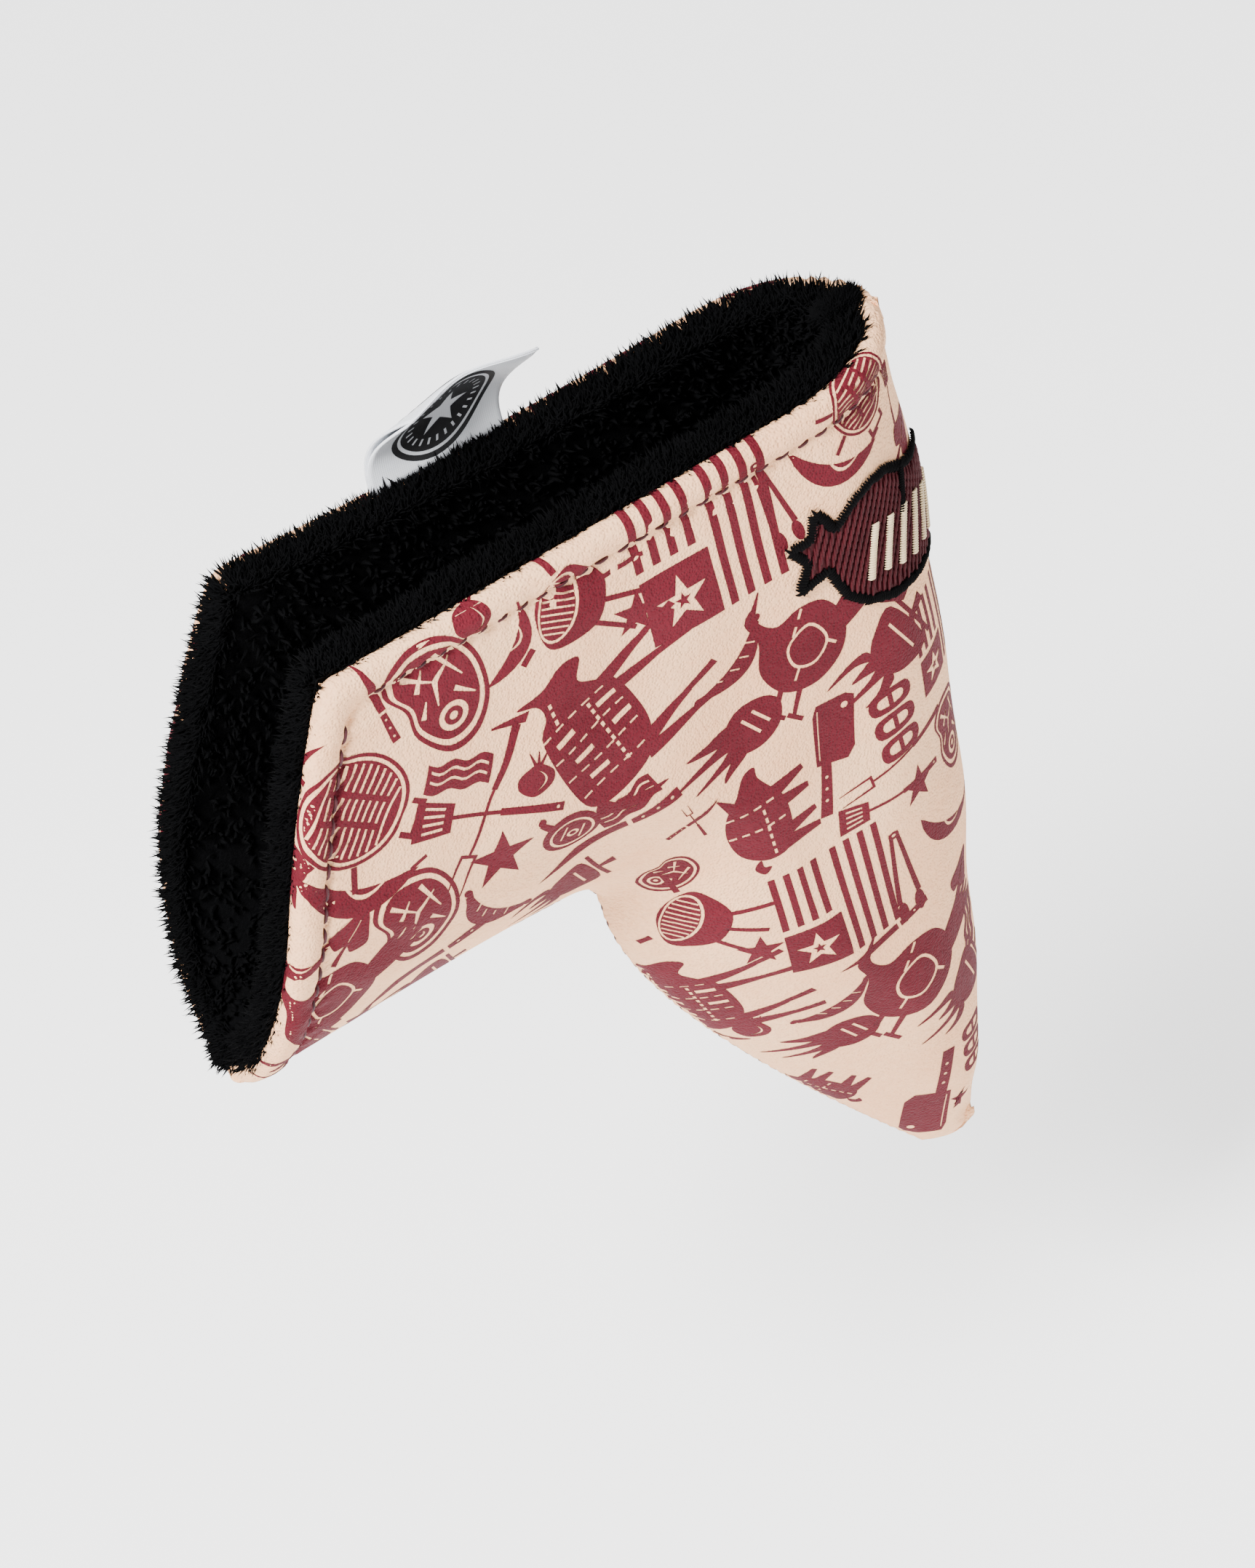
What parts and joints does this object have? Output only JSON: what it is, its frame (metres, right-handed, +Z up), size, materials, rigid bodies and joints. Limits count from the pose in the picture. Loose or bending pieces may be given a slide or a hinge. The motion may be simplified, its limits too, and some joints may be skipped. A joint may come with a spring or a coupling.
{
  "type": "blade putter head cover",
  "caption": "L-shaped padded leather head cover for a blade putter, plush lined, with magnetic mouth walls, embroidered patch and folded label.",
  "frame": {"origin": "the blade seat: the middle of the leg's mouth, level with the inner corner of the L", "axes": "+Z up along the spine, out of the leg towards the rim; +X along the arm towards the spine; -Y the wall on the front, mirror-symmetric with the wall on the back"},
  "size_m": [0.1139, 0.0374, 0.165],
  "materials": {
    "printed_leather": "cream pebbled synthetic leather, matt, printed all over in a dull maroon",
    "padding_foam": "thin grey laminated foam, out of sight",
    "plush": "deep black faux fur, very matt",
    "stitch_thread": "dark maroon polyester thread",
    "magnet_steel": "nickel-plated disc magnet, sewn in",
    "embroidery_red": "maroon fill stitch with a slight thread gloss",
    "embroidery_black": "raised black satin stitch",
    "label_satin": "folded white satin ribbon with a woven black round emblem"
  },
  "bodies": {
    "pocket": {"shell_pocket": "printed_leather", "padding_pocket": "padding_foam", "lining_pocket": "plush", "topstitch_crown": "stitch_thread", "patch_border": "embroidery_black", "patch_fill": "embroidery_red"},
    "front_wall": {"shell_front_wall": "printed_leather", "padding_front_wall": "padding_foam", "lining_front_wall": "plush", "topstitch_front_wall": "stitch_thread", "magnet_front_1": "magnet_steel", "magnet_front_2": "magnet_steel"},
    "back_wall": {"shell_back_wall": "printed_leather", "padding_back_wall": "padding_foam", "lining_back_wall": "plush", "topstitch_back_wall": "stitch_thread", "magnet_back_1": "magnet_steel", "magnet_back_2": "magnet_steel"},
    "label": {"label_tab": "label_satin"}
  },
  "joints": [
    {"name": "front_wall_fold", "type": "hinge", "parent": "pocket", "child": "front_wall", "pos_m": [-0.03438, -0.0115, 0.04269], "axis": [0.8367, 0, 0.5477], "range_deg": [-9, 25], "stiffness_Nm_per_rad": 0.06},
    {"name": "back_wall_fold", "type": "hinge", "parent": "pocket", "child": "back_wall", "pos_m": [-0.03438, 0.0115, 0.04269], "axis": [-0.8367, 0, -0.5477], "range_deg": [-9, 25], "stiffness_Nm_per_rad": 0.06},
    {"name": "label_fold", "type": "hinge", "parent": "back_wall", "child": "label", "pos_m": [-0.033, 0.0112, 0.0684], "axis": [0.9992, 0, 0.04], "range_deg": [-35, 60], "stiffness_Nm_per_rad": 0.002}
  ]
}
